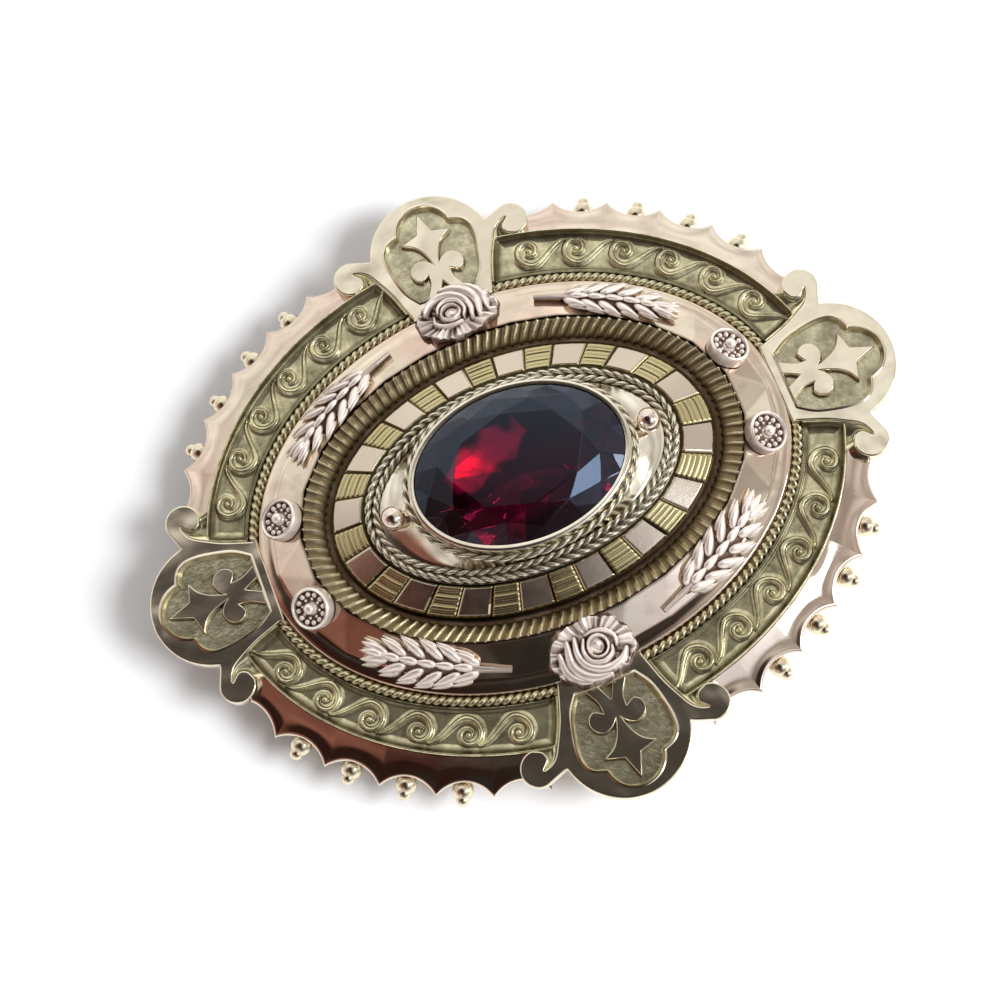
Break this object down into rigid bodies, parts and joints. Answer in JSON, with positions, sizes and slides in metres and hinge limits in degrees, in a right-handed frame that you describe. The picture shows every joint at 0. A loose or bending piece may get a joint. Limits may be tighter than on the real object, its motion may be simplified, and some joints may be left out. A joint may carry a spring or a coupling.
{
  "type": "brooch",
  "caption": "Oval gold brooch with a faceted garnet in a ringed setting, scrollwork channels, scalloped flanges and four lobes with stars.",
  "frame": {"origin": "centre of the back rim's lower edge, which is the centre of the overall box's base, with the brooch lying face up", "axes": "+X along the oval's long axis, +Y across it, +Z out of the brooch's face"},
  "size_m": [0.0456, 0.0384, 0.0084],
  "materials": {
    "garnet": "faceted, near black deep red",
    "polished_gold": "polished",
    "rose_gold": "polished rose gold",
    "green_gold": "matt green gold",
    "antique_gold": "twisted and milled wire, darkened in its grooves",
    "red_gold": "cast and chased, satin",
    "back_gold": "satin",
    "pin_metal": "polished"
  },
  "bodies": {
    "root": {"back_plate": "back_gold", "bezel": "polished_gold", "brooch_pin": "pin_metal", "channel_lower_left": "green_gold", "channel_lower_right": "green_gold", "channel_upper_left": "green_gold", "channel_upper_right": "green_gold", "cove": "polished_gold", "dome_band": "rose_gold", "double_rope_inner": "antique_gold", "double_rope_outer": "antique_gold", "flange_lower_left": "rose_gold", "flange_lower_right": "rose_gold", "flange_upper_left": "rose_gold", "flange_upper_right": "rose_gold", "gallery_rim": "back_gold", "garnet": "garnet", "grain_left": "polished_gold", "grain_right": "polished_gold", "granule_lower_left_1": "polished_gold", "granule_lower_left_2": "polished_gold", "granule_lower_left_3": "polished_gold", "granule_lower_left_4": "polished_gold", "granule_lower_right_1": "polished_gold", "granule_lower_right_2": "polished_gold", "granule_lower_right_3": "polished_gold", "granule_lower_right_4": "polished_gold", "granule_upper_left_1": "polished_gold", "granule_upper_left_2": "polished_gold", "granule_upper_left_3": "polished_gold", "granule_upper_left_4": "polished_gold", "granule_upper_right_1": "polished_gold", "granule_upper_right_2": "polished_gold", "granule_upper_right_3": "polished_gold", "granule_upper_right_4": "polished_gold", "inner_rope": "antique_gold", "lobe_bottom": "rose_gold", "lobe_left": "rose_gold", "lobe_right": "rose_gold", "lobe_top": "rose_gold", "milled_ring": "antique_gold", "outer_rope_lower_left": "antique_gold", "outer_rope_lower_right": "antique_gold", "outer_rope_upper_left": "antique_gold", "outer_rope_upper_right": "antique_gold", "panel_ring": "green_gold", "rose_bottom": "red_gold", "rose_top": "red_gold", "rosette_lower_left": "red_gold", "rosette_lower_right": "red_gold", "rosette_upper_left": "red_gold", "rosette_upper_right": "red_gold", "wheat_ear_lower_left": "red_gold", "wheat_ear_lower_right": "red_gold", "wheat_ear_upper_left": "red_gold", "wheat_ear_upper_right": "red_gold"}
  },
  "joints": []
}
